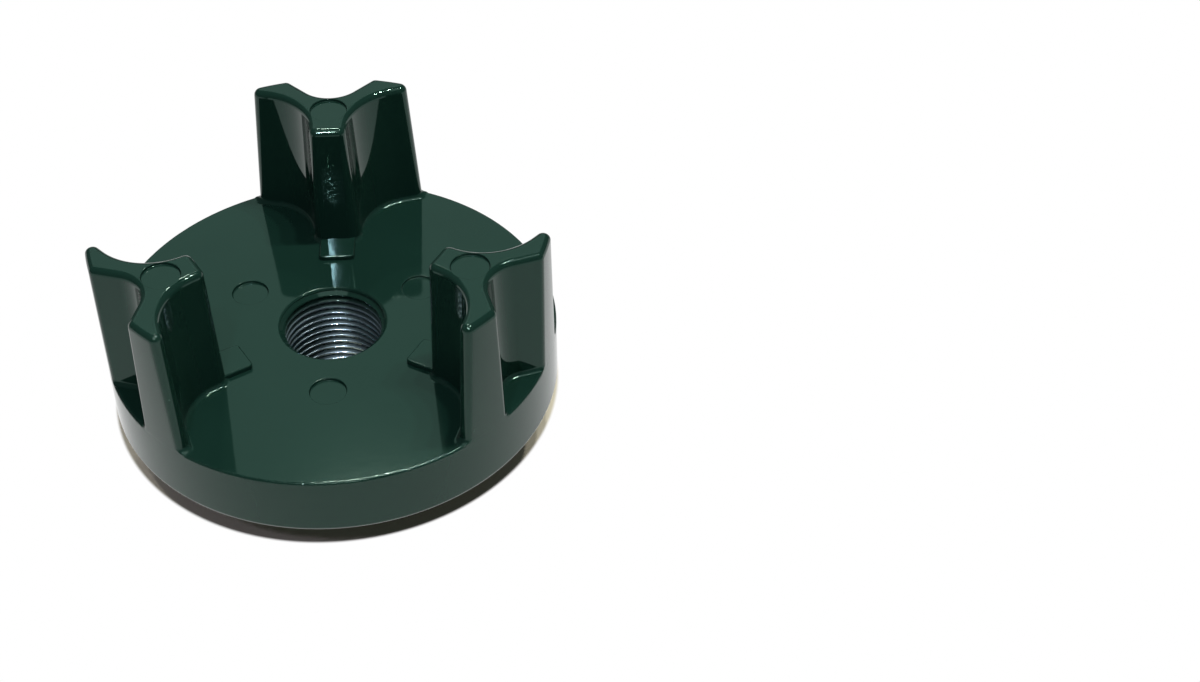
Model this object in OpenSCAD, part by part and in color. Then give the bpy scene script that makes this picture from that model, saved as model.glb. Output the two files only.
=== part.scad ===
// One half of a three-jaw drive coupling, die cast in one piece.
// The hub's end face lies on z = 0 and the jaws point up, round the shaft's axis.

/* [Disc] */
// Outer diameter of the disc and of the jaws
disc_d = 85; // [80:0.5:100]
// Height of the rim wall, from the land on the hub side to the floor between the jaws
rim_h = 12.2; // [9:0.1:16]
// Thickness of the web between the dish and the floor
web_t = 5.2; // [4:0.1:8]
// Width of the flat land round the dish
land_w = 4.5; // [3:0.1:7]
// Slope of the dish's wall from upright, in degrees
dish_draft = 5; // [2:0.5:12]
// Fillet at the foot of the dish's wall
dish_fillet = 2.2; // [1:0.1:3.5]
// Rounding of the rim's edge on the hub side
land_edge = 1; // [0.4:0.1:1.6]
// Rounding of the edge between the floor and the rim wall
floor_edge = 0.45; // [0.2:0.05:0.7]

/* [Hub] */
// Diameter of the hub at its end face, before its edge is rounded
hub_d = 32; // [29:0.5:38]
// How far the hub stands out past the land
hub_proud = 16.7; // [10:0.1:25]
// Slope of the hub's wall from upright, in degrees
hub_draft = 1.5; // [0.5:0.25:3]
// Rounding of the hub's end edge
hub_edge = 1.8; // [0.5:0.1:2.5]
// Fillet where the hub meets the dish's floor
hub_fillet = 2; // [1:0.1:3]

/* [Bore] */
// Nominal diameter of the shaft thread
thread_d = 20; // [18:0.5:22]
// Pitch of the shaft thread
thread_pitch = 1.5; // [1:0.25:2]
// How much wider than the thread the mouth of the bore is, at each end
lead_in_over = 0.5; // [0.2:0.1:3]

/* [Jaws] */
// Height of the jaws above the floor
jaw_h = 26.6; // [15:0.1:32]
// Distance from the axis to the centre of each damper roll's seat
seat_ring_r = 30; // [29:0.1:31.5]
// Thickness of the inner wing at its top
wing_t = 7; // [6:0.1:8.5]
// Distance from the axis to the inner wing's end, at its top
inner_end_r = 24.5; // [21.5:0.1:25.5]
// Slope of the straight end of each outer wing, in degrees
wing_slope = 14; // [12:0.5:20]
// Distance from the axis to the bottom of the outer valley, at its top
valley_floor_r = 36.1; // [35.8:0.1:37.2]
// Radius of the valley's round bottom, at its top
valley_round = 6.3; // [5.5:0.1:7]
// Slope of the valley's sides, in degrees
valley_slope = 44; // [40:1:48]
// Rounding of the upright edge at each outer wing's tip
tip_round = 1.4; // [1.3:0.05:1.6]
// Rounding of the upright edge between the valley and the outside
valley_edge = 1.3; // [1.25:0.05:1.5]
// Rounding of the inner wing's upright edges
inner_round = 1.5; // [1.3:0.05:1.8]
// Slope of the jaws' walls from upright, in degrees
jaw_draft = 2; // [1:0.25:3]
// Fillet at the jaws' roots
root_fillet = 0.9; // [0.5:0.1:1.2]
// Rounding of the jaws' top edges
top_round = 1.2; // [0.6:0.05:1.25]

/* [Foot pads] */
// Distance from the axis to the pad's inner end
pad_end_r = 18.2; // [15:0.1:20]
// Width of the pad at its inner end
pad_w = 6.8; // [5:0.1:8]
// Height of the pad above the floor
pad_h = 1; // [0.95:0.05:1.5]
// Rounding of the pad's upright corners
pad_round = 0.8; // [0.5:0.1:1]
// Rounding of the pad's top edge
pad_edge = 0.3; // [0.2:0.05:0.4]

/* [Ejector marks] */
// Diameter of the mark on each jaw's top
jaw_mark_d = 7.2; // [5:0.1:7.4]
// Distance from the axis to the mark on each jaw
jaw_mark_r = 31.5; // [31.2:0.1:31.6]
// Diameter of the marks on the floor
floor_mark_d = 7; // [4:0.1:9]
// Distance from the axis to the marks on the floor
floor_mark_r = 18.8; // [16:0.1:24]
// Depth of all the marks
mark_depth = 0.5; // [0.3:0.1:1]

/* [Hidden] */
$fn = 96;

disc_r = disc_d / 2;
land_z = hub_proud;
floor_z = land_z + rim_h;
dish_z = floor_z - web_t;
land_in_r = disc_r - land_w;
dish_floor_r = land_in_r - (rim_h - web_t) * tan(dish_draft);
land_in_edge = land_edge / 2;
hub_r = hub_d / 2;
hub_foot_r = hub_r + dish_z * tan(hub_draft);

// The crest height of an ISO internal thread is 5/8 of its sharp V's height.
bore_r = thread_d / 2 - 5 / 8 * cos(30) * thread_pitch;
lead_in_r = (thread_d + lead_in_over) / 2;
lead_in_h = lead_in_r - bore_r;
// Overlap that carries a cut past the face it starts from
past = 1;

jaws = 3;
pitch_angle = 360 / jaws;
// Each jaw shares the ring of rolls with a jaw of the other half, so a roll sits a quarter pitch away.
seat = seat_ring_r * [sin(pitch_angle / 4), cos(pitch_angle / 4)];
seat_r = seat[0] - wing_t / 2;
valley = [0, valley_floor_r + valley_round];
// The jaws' outer faces stop this far inside the rim's wall, so that no two faces lie on each other.
flush_gap = 0.02;
jaw_r = disc_r - flush_gap;
// How far the jaws and the pads reach down into the web
sink = 2 * floor_edge;
pad_sink = sink / 2;
// How far the pad reaches into the inner wing's root
pad_bite = 2;

// Steps along the seat, a rounded edge, the outer face and the height of a fillet
seat_steps = 12;
edge_steps = 4;
face_steps = 4;
fillet_steps = 3;

// Points of an arc about c, from angle a to angle b
function arc(c, r, a, b, steps) = [
    for (k = [0:steps]) c + r * [cos(a + (b - a) * k / steps), sin(a + (b - a) * k / steps)]
];

// Centre of a circle of radius r that touches, from inside, a wall and the jaw's outer face.
// The wall passes through p, runs outwards along the angle along, and faces the angle facing.
function edge_centre(p, along, facing, shift, r, outer_r) =
    let (
        n = [cos(facing), sin(facing)],
        u = [cos(along), sin(along)],
        q = p + (shift - r) * n,
        half = q * u,
        run = -half + sqrt(half * half - q * q + pow(outer_r - r, 2))
    )
    q + run * u;

// Right half of a jaw's outline, from the inner wing's end to the valley's bottom.
// The walls stand out by shift, and the outer face and edges draw in by inset.
function half_outline(shift, inset) =
    let (
        outer_r = jaw_r - inset,
        tip_r = tip_round - inset,
        edge_r = valley_edge - inset,
        flank = seat + seat_r * [-sin(wing_slope), cos(wing_slope)],
        side = valley + valley_round * [sin(valley_slope), -cos(valley_slope)],
        tip = edge_centre(flank, wing_slope, wing_slope - 90, shift, tip_r, outer_r),
        edge = edge_centre(side, valley_slope, valley_slope + 90, shift, edge_r, outer_r),
        tip_a = atan2(tip[1], tip[0]),
        edge_a = atan2(edge[1], edge[0]),
        face = arc([0, 0], outer_r, tip_a, edge_a, face_steps)
    )
    concat(
        arc([wing_t / 2 - inner_round, inner_end_r + inner_round], inner_round + shift, -90, 0, edge_steps),
        arc(seat, seat_r - shift, 180, 90 + wing_slope, seat_steps),
        arc(tip, tip_r, wing_slope - 90, tip_a, 2 * edge_steps),
        [for (k = [1:face_steps - 1]) face[k]],
        arc(edge, edge_r, edge_a, valley_slope + 90, edge_steps),
        arc(valley, valley_round - shift, valley_slope - 90, -90, edge_steps)
    );

// Whole outline: the right half, then its mirror image without the point on the line between them
function jaw_outline(shift, inset) =
    let (half = half_outline(shift, inset))
    concat(half, [for (k = [len(half) - 2:-1:0]) [-half[k][0], half[k][1]]]);

// Outline of a foot pad, whose sides run out to the inner wing's root
function pad_outline(shift) =
    let (
        x = pad_w / 2 - pad_round,
        inner = pad_end_r + pad_round,
        outer = inner_end_r + pad_bite - pad_round,
        half = concat(
            arc([x, inner], pad_round + shift, -90, 0, edge_steps),
            arc([x, outer], pad_round + shift, 0, 90, edge_steps)
        )
    )
    concat(half, [for (k = [len(half) - 1:-1:0]) [-half[k][0], half[k][1]]]);

// Rows of [height, outline] joined into one closed solid
module stack(rows) {
    n = len(rows[0][1]);
    top = len(rows) - 1;
    polyhedron(
        points = [for (row = rows) for (p = row[1]) [p[0], p[1], row[0]]],
        faces = concat(
            [[for (k = [0:n - 1]) k]],
            [
                for (r = [0:top - 1]) for (k = [0:n - 1])
                    let (m = (k + 1) % n)
                    [r * n + k, (r + 1) * n + k, (r + 1) * n + m, r * n + m]
            ],
            [[for (k = [n - 1:-1:0]) top * n + k]]
        )
    );
}

// Draft of a jaw's wall at the height z above the floor
function draft(z) = (jaw_h - z) * tan(jaw_draft);

// One jaw, pointing along +Y, with its foot on z = 0. Its walls run on past its top and are cut off level,
// which leaves the top as one flat face.
module jaw() {
    root = [
        for (k = [0:fillet_steps])
            let (a = 90 * (1 - k / fillet_steps), z = root_fillet * (1 - sin(a)))
            [z, jaw_outline(draft(z) + root_fillet * (1 - cos(a)), 0)]
    ];
    crown = [
        for (k = [0:fillet_steps])
            let (a = 90 * k / fillet_steps, z = jaw_h - top_round * (1 - sin(a)), in = top_round * (1 - cos(a)))
            [z, jaw_outline(draft(z) - in, in)]
    ];
    difference() {
        stack(concat([[-sink, root[0][1]]], root, crown, [[jaw_h + past, crown[fillet_steps][1]]]));
        translate([0, 0, jaw_h]) cylinder(r = disc_r + past, h = 2 * past);
    }
}

// The low step in front of the inner wing
module foot_pad() {
    wall = pad_h - pad_edge;
    crown = [
        for (k = [0:fillet_steps])
            let (a = 90 * k / fillet_steps)
            [wall + pad_edge * sin(a), pad_outline(pad_edge * (cos(a) - 1))]
    ];
    stack(concat([[-pad_sink, pad_outline(0)]], crown));
}

// The sliver between a corner and the circle of radius r that touches both its sides.
// It is added to an inner corner as a fillet and cut from an outer corner as a rounding.
module corner_sliver(before, corner, after, r) {
    u = (before - corner) / norm(before - corner);
    v = (after - corner) / norm(after - corner);
    half = acos(u * v) / 2;
    reach = r / tan(half);
    centre = corner + (u + v) / norm(u + v) * r / sin(half);
    difference() {
        polygon([corner, corner + reach * u, centre, corner + reach * v]);
        translate(centre) circle(r);
    }
}

// Half section of the disc, its dish and its hub
module section() {
    hub_axis = [0, 0];
    hub_end = [hub_r, 0];
    hub_foot = [hub_foot_r, dish_z];
    dish_foot = [dish_floor_r, dish_z];
    land_in = [land_in_r, land_z];
    land_out = [disc_r, land_z];
    floor_out = [disc_r, floor_z];
    floor_axis = [0, floor_z];
    difference() {
        union() {
            polygon([hub_axis, hub_end, hub_foot, dish_foot, land_in, land_out, floor_out, floor_axis]);
            corner_sliver(hub_end, hub_foot, dish_foot, hub_fillet);
            corner_sliver(hub_foot, dish_foot, land_in, dish_fillet);
        }
        corner_sliver(hub_axis, hub_end, hub_foot, hub_edge);
        corner_sliver(dish_foot, land_in, land_out, land_in_edge);
        corner_sliver(land_in, land_out, floor_out, land_edge);
        corner_sliver(land_out, floor_out, floor_axis, floor_edge);
    }
}

// The hole for the shaft at its thread's crests, with a lead-in at each end
module bore() {
    translate([0, 0, -past]) cylinder(r = bore_r, h = floor_z + 2 * past);
    translate([0, 0, -past]) cylinder(r1 = lead_in_r + past, r2 = bore_r, h = lead_in_h + past);
    translate([0, 0, floor_z - lead_in_h]) cylinder(r1 = bore_r, r2 = lead_in_r + past, h = lead_in_h + past);
}

// A shallow round mark, sunk from the height z
module ejector_mark(d, r, z) {
    translate([0, r, z - mark_depth]) cylinder(d = d, h = mark_depth + past);
}

module coupler() {
    color([0.13, 0.24, 0.2]) difference() {
        union() {
            rotate_extrude() section();
            for (k = [0:jaws - 1]) rotate(k * pitch_angle) translate([0, 0, floor_z]) {
                jaw();
                foot_pad();
            }
        }
        bore();
        for (k = [0:jaws - 1]) {
            rotate(k * pitch_angle) ejector_mark(jaw_mark_d, jaw_mark_r, floor_z + jaw_h);
            rotate((k + 0.5) * pitch_angle) ejector_mark(floor_mark_d, floor_mark_r, floor_z);
        }
    }
}

coupler();
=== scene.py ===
import bmesh
import bpy
import numpy as np
from mathutils import Matrix, Vector


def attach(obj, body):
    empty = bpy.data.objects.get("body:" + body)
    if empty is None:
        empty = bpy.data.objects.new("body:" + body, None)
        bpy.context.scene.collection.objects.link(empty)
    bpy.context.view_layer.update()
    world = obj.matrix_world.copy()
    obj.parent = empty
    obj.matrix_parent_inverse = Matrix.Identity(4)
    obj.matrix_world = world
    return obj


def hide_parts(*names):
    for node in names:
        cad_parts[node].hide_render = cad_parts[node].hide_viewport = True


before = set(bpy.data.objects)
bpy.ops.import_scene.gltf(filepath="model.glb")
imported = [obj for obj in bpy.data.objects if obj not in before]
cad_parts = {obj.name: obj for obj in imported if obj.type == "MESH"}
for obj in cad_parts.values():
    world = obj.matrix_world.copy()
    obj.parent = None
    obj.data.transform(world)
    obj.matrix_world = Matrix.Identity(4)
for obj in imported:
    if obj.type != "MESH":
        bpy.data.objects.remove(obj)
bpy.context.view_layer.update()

# Disc and hub. One half section turned about the shaft's axis makes the floor between the jaws, the
# rim, the dish on the back and the hub. With the jaws and the pads they are one aluminium die casting,
# whose corners are rounded as the die's are.
MM = 0.001
COLUMNS = 192
FLOOR_Z = 28.9
LAND_Z = 16.7
DISH_Z = 23.7
DISC_R = 42.5
LAND_IN_R = 38.0
DISH_FLOOR_R = 37.39
HUB_R = 16.0
HUB_FOOT_R = 16.62
MOUTH_R = 10.25
MOUTH_ROUND = 0.4
RIM_ROUND = 0.45
LAND_ROUND = 1.0
LAND_IN_ROUND = 0.5
DISH_ROUND = 2.2
HUB_FOOT_ROUND = 2.0
HUB_ROUND = 1.8
THREAD_D = 20.0
THREAD_PITCH = 1.5


def arc(centre, radius, start, end, steps):
    """Points of a circle about centre, from the angle start to the angle end in degrees."""
    angles = np.radians(np.linspace(start, end, steps + 1))
    return np.asarray(centre) + radius * np.column_stack([np.cos(angles), np.sin(angles)])


def rounded(corners, steps):
    """A line through corners (x, y, r). Each corner with r is swapped for the arc of radius r that
    touches both its sides, r / tan(half the angle between them) away from the corner."""
    points = []
    for k, (x, y, r) in enumerate(corners):
        corner = np.array([x, y])
        if r == 0:
            points.append(corner[None])
            continue
        before = np.array(corners[k - 1][:2]) - corner
        after = np.array(corners[k + 1][:2]) - corner
        before /= np.linalg.norm(before)
        after /= np.linalg.norm(after)
        half = np.arccos(np.clip(before @ after, -1, 1)) / 2
        middle = corner + (before + after) / np.linalg.norm(before + after) * r / np.sin(half)
        first = corner + before * r / np.tan(half) - middle
        last = corner + after * r / np.tan(half) - middle
        sweep = np.arctan2(first[0] * last[1] - first[1] * last[0], first @ last)
        turn = np.linspace(0, sweep, steps + 1)[:, None]
        points.append(middle + np.cos(turn) * first + np.sin(turn) * np.array([-first[1], first[0]]))
    return np.vstack(points)


def grid_faces(rows, columns, close_rows=False):
    """Quads of a grid of points that closes on itself along its columns, and along its rows too if asked."""
    k, c = np.meshgrid(np.arange(rows if close_rows else rows - 1), np.arange(columns), indexing="ij")
    up = (k + 1) % rows
    on = (c + 1) % columns
    quads = np.stack([k * columns + c, k * columns + on, up * columns + on, up * columns + c], axis=-1)
    return quads.reshape(-1, 4).tolist()


def piece(name, points, faces):
    """An object at the origin whose mesh has these points, given in millimetres."""
    mesh = bpy.data.meshes.new(name)
    mesh.from_pydata((np.asarray(points) * MM).tolist(), [], faces)
    mesh.validate()
    made = bpy.data.objects.new(name, mesh)
    bpy.context.scene.collection.objects.link(made)
    return made


def turned(name, section):
    """A closed section (r, z), listed with the solid on its left, turned about the upright axis."""
    angles = np.arange(COLUMNS) * 2 * np.pi / COLUMNS
    r = section[:, 0, None]
    z = section[:, 1, None] + 0 * angles
    points = np.stack([r * np.cos(angles), r * np.sin(angles), z], axis=-1)
    return piece(name, points.reshape(-1, 3), grid_faces(len(section), COLUMNS, True))


# The first and the last corner only give the slope of the bore's lead-ins, and are dropped.
disc_section = rounded(
    [
        (MOUTH_R - 1, FLOOR_Z - 1, 0),
        (MOUTH_R, FLOOR_Z, MOUTH_ROUND),
        (DISC_R, FLOOR_Z, RIM_ROUND),
        (DISC_R, LAND_Z, LAND_ROUND),
        (LAND_IN_R, LAND_Z, LAND_IN_ROUND),
        (DISH_FLOOR_R, DISH_Z, DISH_ROUND),
        (HUB_FOOT_R, DISH_Z, HUB_FOOT_ROUND),
        (HUB_R, 0, HUB_ROUND),
        (MOUTH_R, 0, MOUTH_ROUND),
        (MOUTH_R - 1, 1, 0),
    ],
    steps=8,
)[1:-1][::-1]
casting = turned("casting", disc_section)

# Jaws. Three are cast on the disc. The flanks are the seats of the damper's rolls, whose centres lie
# on one ring, and the outer side has a round valley. All walls lean in by the die's draft, and the
# roots are filleted.
JAWS = 3
JAW_H = 26.6
SEAT_RING_R = 30.0
WING_T = 7.0
INNER_END_R = 24.5
WING_SLOPE = 14.0
VALLEY_FLOOR_R = 36.1
VALLEY_ROUND = 6.3
VALLEY_SLOPE = 44.0
TIP_ROUND = 1.4
VALLEY_EDGE = 1.3
INNER_ROUND = 1.5
DRAFT = np.tan(np.radians(2.0))
ROOT_FILLET = 0.9
TOP_ROUND = 1.2
RIM_GAP = 0.012
JAW_R = DISC_R - RIM_GAP
SINK = 0.9


def edge_centre(p, along, facing, shift, r, outer_r):
    """Centre of a circle of radius r that touches, from inside, a wall and the outer circle. The wall passes
    through p along one angle and faces another. The centre lies on the wall's line moved in by r, where its
    distance from the axis is outer_r - r."""
    n = np.array([np.cos(np.radians(facing)), np.sin(np.radians(facing))])
    u = np.array([np.cos(np.radians(along)), np.sin(np.radians(along))])
    q = p + (shift - r) * n
    half = q @ u
    return q + u * (-half + np.sqrt(half * half - q @ q + (outer_r - r) ** 2))


def jaw_outline(shift, inset):
    """Outline of a jaw that points along +Y, with its walls moved out by shift and its outer face in by
    inset. The right half runs from the inner wing's end along the seat, round the tip and over the
    outer face into the valley, and the left half mirrors it."""
    outer_r, tip_r, edge_r = JAW_R - inset, TIP_ROUND - inset, VALLEY_EDGE - inset
    seat = SEAT_RING_R * np.array([0.5, np.cos(np.pi / 6)])
    seat_r = seat[0] - WING_T / 2
    valley = np.array([0, VALLEY_FLOOR_R + VALLEY_ROUND])
    slope, side_slope = np.radians(WING_SLOPE), np.radians(VALLEY_SLOPE)
    flank = seat + seat_r * np.array([-np.sin(slope), np.cos(slope)])
    side = valley + VALLEY_ROUND * np.array([np.sin(side_slope), -np.cos(side_slope)])
    tip = edge_centre(flank, WING_SLOPE, WING_SLOPE - 90, shift, tip_r, outer_r)
    edge = edge_centre(side, VALLEY_SLOPE, VALLEY_SLOPE + 90, shift, edge_r, outer_r)
    tip_a = np.degrees(np.arctan2(tip[1], tip[0]))
    edge_a = np.degrees(np.arctan2(edge[1], edge[0]))
    inner = np.array([WING_T / 2 - INNER_ROUND, INNER_END_R + INNER_ROUND])
    half = np.vstack([
        arc(inner, INNER_ROUND + shift, -90, 0, 8),
        arc(seat, seat_r - shift, 180, 90 + WING_SLOPE, 28),
        arc(tip, tip_r, WING_SLOPE - 90, tip_a, 12),
        arc((0, 0), outer_r, tip_a, edge_a, 8)[1:-1],
        arc(edge, edge_r, edge_a, VALLEY_SLOPE + 90, 8),
        arc(valley, VALLEY_ROUND - shift, VALLEY_SLOPE - 90, -90, 10),
    ])
    return np.vstack([half, half[-2::-1] * [-1, 1]])


def loft(name, rows, turn):
    """A closed stack of outlines, given as (height, outline) pairs and turned about the axis by an angle."""
    count = len(rows[0][1])
    points = np.vstack([np.column_stack([outline, np.full(count, z)]) for z, outline in rows])
    cos, sin = np.cos(turn), np.sin(turn)
    points[:, :2] = points[:, :2] @ np.array([[cos, sin], [-sin, cos]])
    faces = grid_faces(len(rows), count)
    faces.append(list(range(count))[::-1])
    faces.append(list(range((len(rows) - 1) * count, len(rows) * count)))
    return piece(name, points, faces)


def jaw_rows():
    """Rows of a jaw. The foot's fillet and the top's rounding are quarter circles in height and offset,
    and the draft moves the walls out by its slope times the depth below the top."""
    foot = []
    for a in np.linspace(np.pi / 2, 0, 9):
        z = ROOT_FILLET * (1 - np.sin(a))
        foot.append((z, jaw_outline((JAW_H - z) * DRAFT + ROOT_FILLET * (1 - np.cos(a)), 0)))
    top = []
    for a in np.linspace(0, np.pi / 2, 7):
        z = JAW_H - TOP_ROUND * (1 - np.sin(a))
        inset = TOP_ROUND * (1 - np.cos(a))
        top.append((z, jaw_outline((JAW_H - z) * DRAFT - inset, inset)))
    rows = [(-SINK, foot[0][1])] + foot + top
    return [(z + FLOOR_Z, outline) for z, outline in rows]


turns = np.arange(JAWS) * 2 * np.pi / JAWS
jaws = [loft("jaw", jaw_rows(), turn) for turn in turns]

# Foot pads. A low step is cast in front of each inner wing, as wide as the wing's root. Its inner end
# has round corners, and a small rounding runs along the edge of its top.
PAD_END_R = 18.2
PAD_W = 6.8
PAD_H = 1.0
PAD_ROUND = 0.8
PAD_EDGE = 0.3
PAD_BITE = 2.0


def pad_outline(shift):
    """Rounded rectangle from the pad's inner end to inside the wing's root, moved out by shift."""
    x = PAD_W / 2 - PAD_ROUND
    half = np.vstack([
        arc((x, PAD_END_R + PAD_ROUND), PAD_ROUND + shift, -90, 0, 8),
        arc((x, INNER_END_R + PAD_BITE - PAD_ROUND), PAD_ROUND + shift, 0, 90, 8),
    ])
    return np.vstack([half, half[::-1] * [-1, 1]])


pad_rows = [(FLOOR_Z - SINK / 2, pad_outline(0))]
for a in np.linspace(0, np.pi / 2, 6):
    pad_z = FLOOR_Z + PAD_H - PAD_EDGE * (1 - np.sin(a))
    pad_rows.append((pad_z, pad_outline(PAD_EDGE * (np.cos(a) - 1))))
pads = [loft("pad", pad_rows, turn) for turn in turns]

# Ejector marks. The pins that push the casting out of its die leave a shallow round dent in each jaw's
# top and in the floor between the jaws.
MARK_DEPTH = 0.5
MARK_LIP = 0.15
TOP_MARK_AT = 31.5
TOP_MARK_R = 3.6
FLOOR_MARK_AT = 18.8
FLOOR_MARK_R = 3.5


def mark(y, z, r, turn):
    """The space of one dent: a stack of circles that rises from a small fillet and flares at its lip."""
    foot = arc((r - MARK_LIP, z - MARK_DEPTH + MARK_LIP), MARK_LIP, -90, 0, 4)
    lip = arc((r + MARK_LIP, z - MARK_LIP), MARK_LIP, 180, 90, 4)
    section = np.vstack([foot, lip, [[r + MARK_LIP, z + 1]]])
    rows = [(height, arc((0, y), radius, 0, 360, 64)[:-1]) for radius, height in section]
    return loft("mark", rows, turn)


marks = [mark(TOP_MARK_AT, FLOOR_Z + JAW_H, TOP_MARK_R - MARK_LIP / 2, turn) for turn in turns]
marks += [mark(FLOOR_MARK_AT, FLOOR_Z, FLOOR_MARK_R - MARK_LIP / 2, turn + np.pi / JAWS) for turn in turns]

# Shaft thread. It is cut through the bore after casting, so its turns are bare metal, and a lead-in at
# each end keeps the first turn from burring. With it the casting is whole, and its normals are evened
# out over the roundings.
THREAD_R = THREAD_D / 2
CREST_R = THREAD_R - 5 / 8 * np.cos(np.pi / 6) * THREAD_PITCH
FLANK_W = (THREAD_R - CREST_R) * np.tan(np.pi / 6)
CORNER = 0.05
PLAIN_R = disc_section[0, 0]
BORE_MARGIN = 0.01
WELD = 0.0002
SMOOTH_LIMIT = 40


def thread_turn():
    """One turn's section as (height, radius): a crest flat a quarter pitch wide, a flank at 60 degrees to
    the next one, and a root flat an eighth wide, 5/8 of a sharp thread's height deeper. Each corner is
    two points, at most a corner's width to either side of it."""
    crest_end = THREAD_PITCH / 4
    root = THREAD_PITCH / 4 + FLANK_W
    root_end = THREAD_PITCH * 3 / 8 + FLANK_W
    rise = CORNER * ((THREAD_R - CREST_R) / FLANK_W)
    return np.array([
        (-CORNER, CREST_R + rise),
        (CORNER, CREST_R),
        (crest_end - CORNER, CREST_R),
        (crest_end + CORNER, CREST_R + rise),
        (root - CORNER, THREAD_R - rise),
        (root + CORNER / 2, THREAD_R),
        (root_end - CORNER / 2, THREAD_R),
        (root_end + CORNER, THREAD_R - rise),
    ])


def thread_wall():
    """Points and faces of the bore's wall. The rows climb one pitch in a turn, as the thread does, and
    wherever the lead-in's cone is wider than the thread the wall follows the cone. Rows past an end lie
    on its rim."""
    low, high = disc_section[0, 1], disc_section[-1, 1]
    section = thread_turn()
    first, last = -2, int(np.ceil(high / THREAD_PITCH)) + 1
    height = np.concatenate([section[:, 0] + k * THREAD_PITCH for k in range(first, last)])
    radius = np.tile(section[:, 1], last - first)
    angles = np.arange(COLUMNS) * 2 * np.pi / COLUMNS
    z = np.clip(height[:, None] + THREAD_PITCH * angles / (2 * np.pi), low, high)
    cone = np.maximum(PLAIN_R - (z - low), PLAIN_R - (high - z))
    r = np.maximum(radius[:, None], cone)
    points = np.stack([r * np.cos(angles), r * np.sin(angles), z], axis=-1).reshape(-1, 3)
    rows = len(height)
    k, c = np.meshgrid(np.arange(rows), np.arange(COLUMNS), indexing="ij")
    wrap = c == COLUMNS - 1
    right = np.where(wrap, (k + len(section)) * COLUMNS, k * COLUMNS + c + 1)
    quads = np.stack([k * COLUMNS + c, (k + 1) * COLUMNS + c, right + COLUMNS, right], axis=-1)
    return points, quads[k < rows - 1 - len(section) * wrap]


def joined(base, operation, others):
    """The exact union or difference of the base and a set of solids, as the base's new mesh."""
    group = bpy.data.collections.new(operation.lower())
    for other in others:
        group.objects.link(other)
    cut = base.modifiers.new(operation.lower(), "BOOLEAN")
    cut.operation = operation
    cut.operand_type = "COLLECTION"
    cut.collection = group
    cut.solver = "EXACT"
    made = bpy.data.meshes.new_from_object(base.evaluated_get(bpy.context.evaluated_depsgraph_get()))
    base.modifiers.clear()
    base.data = made
    for other in others:
        bpy.data.objects.remove(other)
    bpy.data.collections.remove(group)


def with_thread(mesh):
    """The mesh with its plain bore swapped for the thread's wall, whose end rims are the same points."""
    count = len(mesh.vertices)
    points = np.empty(count * 3)
    mesh.vertices.foreach_get("co", points)
    points = points.reshape(-1, 3)
    far = np.hypot(points[:, 0], points[:, 1]) > (PLAIN_R + BORE_MARGIN) * MM
    faces = [list(polygon.vertices) for polygon in mesh.polygons]
    kept = [face for face in faces if far[face].any() or np.ptp(points[face, 2]) < MM]
    wall_points, wall_faces = thread_wall()
    new = bpy.data.meshes.new(mesh.name)
    new.from_pydata(
        np.vstack([points, wall_points * MM]).tolist(), [], kept + (wall_faces + count).tolist()
    )
    shape = bmesh.new()
    shape.from_mesh(new)
    bmesh.ops.remove_doubles(shape, verts=shape.verts, dist=WELD * MM)
    loose = [vertex for vertex in shape.verts if not vertex.link_faces]
    bmesh.ops.delete(shape, geom=loose, context="VERTS")
    shape.to_mesh(new)
    shape.free()
    return new


def soften(mesh, limit):
    """Gives each face corner the mean normal of the faces round its point that turn from its own face by
    less than the limit in degrees, weighted by their areas, so that flats stay flat and roundings run
    into them."""
    corners, count = len(mesh.loops), len(mesh.polygons)
    vertex = np.empty(corners, dtype=np.int64)
    mesh.loops.foreach_get("vertex_index", vertex)
    sides = np.empty(count, dtype=np.int64)
    mesh.polygons.foreach_get("loop_total", sides)
    area = np.empty(count)
    mesh.polygons.foreach_get("area", area)
    normal = np.empty(count * 3)
    mesh.polygons.foreach_get("normal", normal)
    face = np.repeat(np.arange(count), sides)
    own = normal.reshape(-1, 3)[face]
    weight = area[face]
    order = np.argsort(vertex, kind="stable")
    size = np.bincount(vertex, minlength=len(mesh.vertices))
    start = np.concatenate([[0], np.cumsum(size)[:-1]])[vertex[order]]
    size = size[vertex[order]]
    place = np.arange(corners) - start
    total = np.zeros((corners, 3))
    for step in range(size.max()):
        other = order[start + (place + step) % size]
        close = (own[order] * own[other]).sum(1) > np.cos(np.radians(limit))
        total[order] += (close & (step < size))[:, None] * weight[other, None] * own[other]
    total /= np.maximum(np.linalg.norm(total, axis=1), 1e-20)[:, None]
    mesh.polygons.foreach_set("use_smooth", np.ones(count, dtype=bool))
    mesh.normals_split_custom_set(total.tolist())


joined(casting, "UNION", jaws)
joined(casting, "UNION", pads)
joined(casting, "DIFFERENCE", marks)
casting.data = with_thread(casting.data)
soften(casting.data, SMOOTH_LIMIT)
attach(casting, "root")
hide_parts("coupler")

# Coat. The casting is sprayed and baked a dark green, which flows into a faint orange peel and lies
# unevenly over the rim's edge. The bore is bare metal between its sprayed ends: the thread's crests
# are bright, and its flanks are torn and dull, with painted shade that darkens them in the grooves.
COAT_DARK = (0.005, 0.020, 0.015)
COAT_LIGHT = (0.007, 0.027, 0.020)
COAT_DUST = (0.03, 0.07, 0.06)
COAT_SHEEN = (0.6, 1.0, 0.86)
COAT_SPECULAR = 0.38
COAT_ROUGHNESS = 0.055
SPRAY_START = 1.5
SPRAY_END = 8.5
CREST_METAL = (0.42, 0.56, 0.66)
# The flanks' dark colour is painted shade for the grooves under the crests; the crests keep the bare metal's
# own colour.
FLANK_METAL_PAINTED_SHADE = (0.08, 0.12, 0.13)
CREST_ROUGHNESS = 0.17
FLANK_ROUGHER = 0.3
FLOW_DEPTH = 0.006
GRIT_SHARE = 4
BURR_SHARE = 0.5
WAVES_PER_M = 330
TONES_PER_M = 60
DUST_PER_M = 700
DUST_LEFT_OUT = 0.93
DUST_HEIGHT = 0.6
GRIT_PER_M = 2200
BURRS_PER_M = 1500


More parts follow.
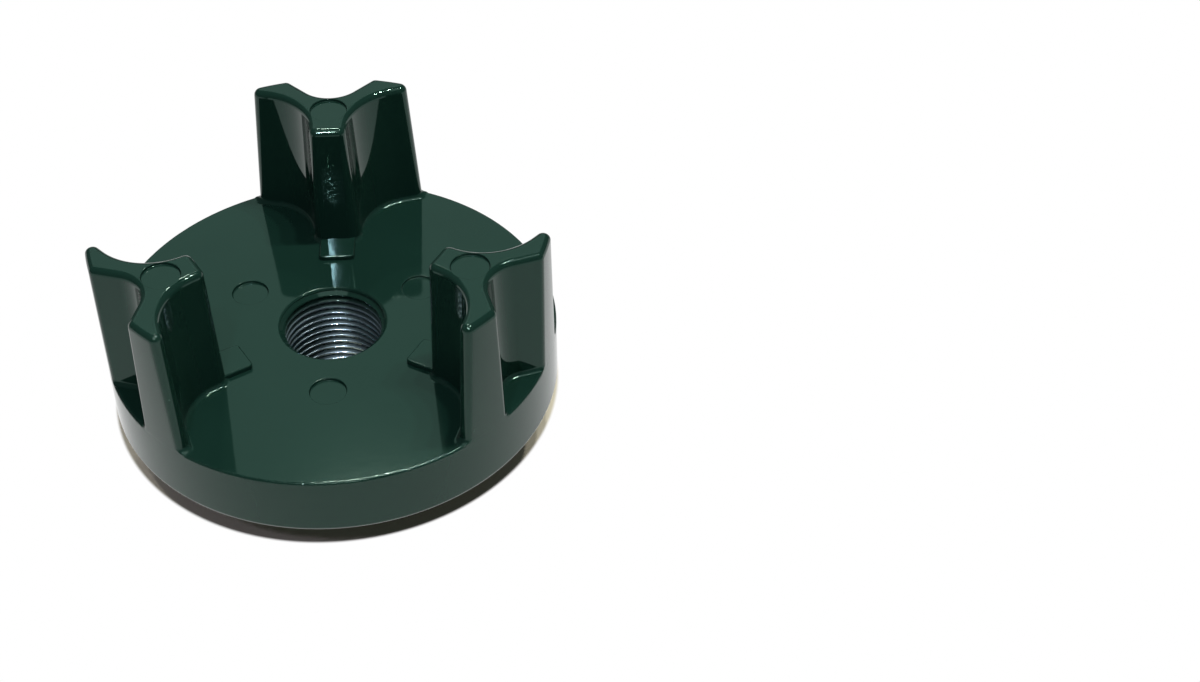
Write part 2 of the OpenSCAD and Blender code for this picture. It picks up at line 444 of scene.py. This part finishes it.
def noise(nodes, links, place, scale, detail):
    """A node of soft noise. Its features are 1 / scale of a metre wide, with finer ones per detail."""
    node = nodes.new("ShaderNodeTexNoise")
    node.inputs["Scale"].default_value = scale
    node.inputs["Detail"].default_value = detail
    links.new(place, node.inputs["Vector"])
    return node


def peel_group():
    """Height, grain and tone of a baked coat: soft waves with a ripple, and sparse dust under it."""
    group = bpy.data.node_groups.new("coat_flow", "ShaderNodeTree")
    group.interface.new_socket("Vector", in_out="INPUT", socket_type="NodeSocketVector")
    wave_scale = group.interface.new_socket("Wave Scale", in_out="INPUT", socket_type="NodeSocketFloat")
    wave_scale.default_value = WAVES_PER_M
    group.interface.new_socket("Height", in_out="OUTPUT", socket_type="NodeSocketFloat")
    group.interface.new_socket("Grain", in_out="OUTPUT", socket_type="NodeSocketFloat")
    group.interface.new_socket("Tone", in_out="OUTPUT", socket_type="NodeSocketFloat")
    nodes, links = group.nodes, group.links
    source = nodes.new("NodeGroupInput")
    out = nodes.new("NodeGroupOutput")
    waves = noise(nodes, links, source.outputs["Vector"], 0, 2)
    links.new(source.outputs["Wave Scale"], waves.inputs["Scale"])
    dust = nodes.new("ShaderNodeTexVoronoi")
    dust.inputs["Scale"].default_value = DUST_PER_M
    links.new(source.outputs["Vector"], dust.inputs["Vector"])
    speck = nodes.new("ShaderNodeMapRange")
    speck.inputs["From Min"].default_value = 0.16
    speck.inputs["From Max"].default_value = 0.05
    links.new(dust.outputs["Distance"], speck.inputs["Value"])
    sparse = nodes.new("ShaderNodeMath")
    sparse.operation = "GREATER_THAN"
    sparse.inputs[1].default_value = DUST_LEFT_OUT
    links.new(dust.outputs["Color"], sparse.inputs[0])
    grain = nodes.new("ShaderNodeMath")
    grain.operation = "MULTIPLY"
    links.new(speck.outputs["Result"], grain.inputs[0])
    links.new(sparse.outputs["Value"], grain.inputs[1])
    height = nodes.new("ShaderNodeMath")
    height.operation = "MULTIPLY_ADD"
    height.inputs[1].default_value = DUST_HEIGHT
    links.new(grain.outputs["Value"], height.inputs[0])
    links.new(waves.outputs["Fac"], height.inputs[2])
    tone = noise(nodes, links, source.outputs["Vector"], TONES_PER_M, 3)
    links.new(height.outputs["Value"], out.inputs["Height"])
    links.new(grain.outputs["Value"], out.inputs["Grain"])
    links.new(tone.outputs["Fac"], out.inputs["Tone"])
    return group


def ramp(nodes, links, value, low, high, start=0, end=1):
    """A mask that runs smoothly from start at low to end at high."""
    node = nodes.new("ShaderNodeMapRange")
    node.interpolation_type = "SMOOTHSTEP"
    node.inputs["From Min"].default_value = low
    node.inputs["From Max"].default_value = high
    node.inputs["To Min"].default_value = start
    node.inputs["To Max"].default_value = end
    links.new(value, node.inputs["Value"])
    return node.outputs["Result"]


def times(nodes, links, a, b):
    """The product of two values."""
    node = nodes.new("ShaderNodeMath")
    node.operation = "MULTIPLY"
    links.new(a, node.inputs[0])
    links.new(b, node.inputs[1])
    return node.outputs["Value"]


def added(nodes, links, a, share, b):
    """The share of one value, added to another."""
    node = nodes.new("ShaderNodeMath")
    node.operation = "MULTIPLY_ADD"
    node.inputs[1].default_value = share
    links.new(a, node.inputs[0])
    links.new(b, node.inputs[2])
    return node.outputs["Value"]


def blend(nodes, links, mask, a, b):
    """Colour a where the mask is 0 and colour b where it is 1. Each is a socket or plain numbers."""
    node = nodes.new("ShaderNodeMix")
    node.data_type = "RGBA"
    links.new(mask, node.inputs["Factor"])
    for socket, value in ((node.inputs[6], a), (node.inputs[7], b)):
        if isinstance(value, tuple):
            socket.default_value = (*value, 1)
        else:
            links.new(value, socket)
    return node.outputs[2]


def coat_material():
    """Green coat over the casting, and bare metal where the thread's turns lie deep enough in the bore, with
    painted shade on its flanks.
    """
    material = bpy.data.materials.new("coated_casting")
    material.use_nodes = True
    nodes, links = material.node_tree.nodes, material.node_tree.links
    shader = nodes["Principled BSDF"]
    shader.inputs["Specular Tint"].default_value = (*COAT_SHEEN, 1)
    shader.inputs["Specular IOR Level"].default_value = COAT_SPECULAR
    place = nodes.new("ShaderNodeTexCoord")
    flow = nodes.new("ShaderNodeGroup")
    flow.node_tree = peel_group()
    links.new(place.outputs["Object"], flow.inputs["Vector"])
    split = nodes.new("ShaderNodeSeparateXYZ")
    links.new(place.outputs["Object"], split.inputs["Vector"])
    flat = nodes.new("ShaderNodeCombineXYZ")
    links.new(split.outputs["X"], flat.inputs["X"])
    links.new(split.outputs["Y"], flat.inputs["Y"])
    radius = nodes.new("ShaderNodeVectorMath")
    radius.operation = "LENGTH"
    links.new(flat.outputs["Vector"], radius.inputs[0])
    inside = ramp(nodes, links, radius.outputs["Value"], (THREAD_R + 0.1) * MM, THREAD_R * MM)
    z = split.outputs["Z"]
    below = ramp(nodes, links, z, (FLOOR_Z - SPRAY_START) * MM, (FLOOR_Z - SPRAY_END) * MM)
    above = ramp(nodes, links, z, SPRAY_START * MM, SPRAY_END * MM)
    bare = times(nodes, links, times(nodes, links, below, above), inside)
    outer = ramp(nodes, links, radius.outputs["Value"], (DISC_R - 0.6) * MM, (DISC_R - 0.3) * MM)
    upper = ramp(nodes, links, z, (FLOOR_Z - 0.8) * MM, (FLOOR_Z - 0.4) * MM)
    lower = ramp(nodes, links, z, (FLOOR_Z + 0.1) * MM, (FLOOR_Z + 0.02) * MM)
    rim = times(nodes, links, outer, times(nodes, links, upper, lower))
    grit = noise(nodes, links, place.outputs["Object"], GRIT_PER_M, 1)
    burr = noise(nodes, links, place.outputs["Object"], BURRS_PER_M, 1)
    torn_metal = times(nodes, links, grit.outputs["Fac"], bare)
    torn_rim = times(nodes, links, ramp(nodes, links, burr.outputs["Fac"], 0.35, 0.65, -1, 1), rim)
    uneven = added(nodes, links, torn_rim, BURR_SHARE, torn_metal)
    coat = blend(nodes, links, flow.outputs["Tone"], COAT_DARK, COAT_LIGHT)
    dusty = blend(nodes, links, flow.outputs["Grain"], coat, COAT_DUST)
    # Painted shade: the thread's flanks, deeper than its crests, take a much darker metal colour, and the
    # same mask makes them rougher.
    flank = ramp(nodes, links, radius.outputs["Value"], (CREST_R + 0.04) * MM, (CREST_R + 0.2) * MM)
    metal_with_painted_shade = blend(nodes, links, flank, CREST_METAL, FLANK_METAL_PAINTED_SHADE)
    colour = blend(nodes, links, bare, dusty, metal_with_painted_shade)
    links.new(colour, shader.inputs["Base Color"])
    links.new(bare, shader.inputs["Metallic"])
    shine = nodes.new("ShaderNodeMapRange")
    shine.inputs["To Min"].default_value = COAT_ROUGHNESS
    shine.inputs["To Max"].default_value = CREST_ROUGHNESS
    links.new(bare, shine.inputs["Value"])
    dull = times(nodes, links, bare, flank)
    links.new(added(nodes, links, dull, FLANK_ROUGHER, shine.outputs["Result"]), shader.inputs["Roughness"])
    bump = nodes.new("ShaderNodeBump")
    bump.inputs["Strength"].default_value = 1
    bump.inputs["Distance"].default_value = FLOW_DEPTH * MM
    links.new(added(nodes, links, uneven, GRIT_SHARE, flow.outputs["Height"]), bump.inputs["Height"])
    links.new(bump.outputs["Normal"], shader.inputs["Normal"])
    return material


casting.data.materials.append(coat_material())

# Table. The coupling stands on its hub on warm white paper. Round the part the camera and the coat see
# the paper burnt out to white, and under the rim they see the shadow that the disc throws on it, which
# fades to the back.
SHADOW_R = 44.6
SHADOW_AT = (-2.0, 14.7)
SHADOW_EDGE = 0.4
SHADOW_FADE = (14, 46)
PAPER = (0.66, 0.62, 0.50)
TABLE = 3000.0


def paper_material():
    """Warm paper with its shading kept under the disc, and a glow of 1 round it for what sees the paper."""
    material = bpy.data.materials.new("paper")
    material.use_nodes = True
    nodes, links = material.node_tree.nodes, material.node_tree.links
    nodes.remove(nodes["Principled BSDF"])
    paper = nodes.new("ShaderNodeBsdfDiffuse")
    paper.inputs["Color"].default_value = (*PAPER, 1)
    glow = nodes.new("ShaderNodeEmission")
    glow.inputs["Strength"].default_value = 1
    rays = nodes.new("ShaderNodeLightPath")
    seen = nodes.new("ShaderNodeMath")
    seen.operation = "ADD"
    links.new(rays.outputs["Is Camera Ray"], seen.inputs[0])
    links.new(rays.outputs["Is Glossy Ray"], seen.inputs[1])
    seen_too = nodes.new("ShaderNodeMath")
    seen_too.operation = "ADD"
    seen_too.use_clamp = True
    links.new(seen.outputs["Value"], seen_too.inputs[0])
    links.new(rays.outputs["Is Transmission Ray"], seen_too.inputs[1])
    place = nodes.new("ShaderNodeTexCoord")
    apart = nodes.new("ShaderNodeVectorMath")
    apart.operation = "DISTANCE"
    apart.inputs[1].default_value = (SHADOW_AT[0] * MM, SHADOW_AT[1] * MM, 0)
    links.new(place.outputs["Object"], apart.inputs[0])
    inner, outer = (SHADOW_R - SHADOW_EDGE) * MM, (SHADOW_R + SHADOW_EDGE) * MM
    outside = ramp(nodes, links, apart.outputs["Value"], inner, outer)
    split = nodes.new("ShaderNodeSeparateXYZ")
    links.new(place.outputs["Object"], split.inputs["Vector"])
    behind = ramp(nodes, links, split.outputs["Y"], SHADOW_FADE[0] * MM, SHADOW_FADE[1] * MM)
    clear = nodes.new("ShaderNodeMath")
    clear.operation = "MAXIMUM"
    links.new(outside, clear.inputs[0])
    links.new(behind, clear.inputs[1])
    mix = nodes.new("ShaderNodeMixShader")
    links.new(times(nodes, links, seen_too.outputs["Value"], clear.outputs["Value"]), mix.inputs["Fac"])
    links.new(paper.outputs["BSDF"], mix.inputs[1])
    links.new(glow.outputs["Emission"], mix.inputs[2])
    links.new(mix.outputs["Shader"], nodes["Material Output"].inputs["Surface"])
    return material


table_corners = [(-TABLE, -TABLE, 0), (TABLE, -TABLE, 0), (TABLE, TABLE, 0), (-TABLE, TABLE, 0)]
table = piece("table", table_corners, [[0, 1, 2, 3]])
table.data.materials.append(paper_material())

# Light. A ceiling and a pale wall behind the part are the soft light. A row of bulbs high on the right
# and one in front of the wall draw the rounded edges. The small lamps beside the camera light the bore
# and the pads' edges.
WHITE = (1.0, 1.0, 1.0)
WARM = (1.0, 0.97, 0.9)
ROOM = (0.10, 0.10, 0.10)


def lamp(name, size, power, colour, place):
    """A lamp of width and height size at a place in millimetres, turned towards the part."""
    data = bpy.data.lights.new(name, "AREA")
    data.shape = "RECTANGLE"
    data.size = size[0] * MM
    data.size_y = size[1] * MM
    data.energy = power
    data.color = colour
    made = bpy.data.objects.new(name, data)
    bpy.context.scene.collection.objects.link(made)
    turn = (-Vector(place)).to_track_quat("-Z", "Y").to_matrix().to_4x4()
    made.matrix_world = Matrix.Translation(Vector(place) * MM) @ turn


lamp("ceiling", (1300, 1300), 6.4, WHITE, (0, -450, 2150))
lamp("wall", (1800, 1000), 3.7, (0.75, 1.0, 0.92), (-150, 1700, 1430))
lamp("back bulb", (90, 40), 3.0, WARM, (-121, 1151, 1379))
for x in (200, 325, 450):
    lamp("high bulb", (32, 32), 3.2, WARM, (x, 78, 1113))
lamp("flash", (24, 10), 0.18, WHITE, (44, -300, 375))
lamp("front bulb", (12, 30), 0.5, (1.0, 0.95, 0.95), (-54, -290, 540))
lamp("slit", (2, 18), 0.17, (0.8, 0.72, 1.0), (-49, -300, 352))

world = bpy.data.worlds.new("room")
bpy.context.scene.world = world
world.use_nodes = True
world.node_tree.nodes["Background"].inputs["Color"].default_value = (*ROOM, 1)
world.node_tree.nodes["Background"].inputs["Strength"].default_value = 1
bpy.context.scene.view_settings.view_transform = "Standard"

# Camera. It stands 0.31 m over the table and as far in front, and looks down on the jaws a little from
# the right. Its place, its turns and its focal length are fitted to the photograph.
CAMERA_AT = (39.2, -317.4, 314.0)
YAW = 2.0945
PITCH = 43.142
ROLL = -0.4192
FOCAL_PX = 2239.26
CENTRE_PX = (600.354, 362.094)
PHOTO_PX = (1200, 682)


def camera_matrix():
    """Columns right, up and back. Forward is the heading turned down by the pitch, and right is level
    before the roll turns it about forward."""
    yaw, pitch, roll = np.radians([YAW, PITCH, ROLL])
    forward = np.array([np.sin(yaw) * np.cos(pitch), np.cos(yaw) * np.cos(pitch), -np.sin(pitch)])
    level = np.array([np.cos(yaw), -np.sin(yaw), 0])
    upright = np.cross(level, forward)
    right = np.cos(roll) * level + np.sin(roll) * upright
    up = -np.sin(roll) * level + np.cos(roll) * upright
    turn = Matrix(np.column_stack([right, up, -forward]).tolist()).to_4x4()
    return Matrix.Translation(Vector(CAMERA_AT) * MM) @ turn


lens = bpy.data.cameras.new("camera")
lens.sensor_width = 36
lens.lens = FOCAL_PX / PHOTO_PX[0] * lens.sensor_width
lens.shift_x = (PHOTO_PX[0] / 2 - CENTRE_PX[0]) / PHOTO_PX[0]
lens.shift_y = (CENTRE_PX[1] - PHOTO_PX[1] / 2) / PHOTO_PX[0]
lens.clip_start = 0.01
lens.clip_end = 20
camera = bpy.data.objects.new("camera", lens)
camera.matrix_world = camera_matrix()
bpy.context.scene.collection.objects.link(camera)
bpy.context.scene.camera = camera
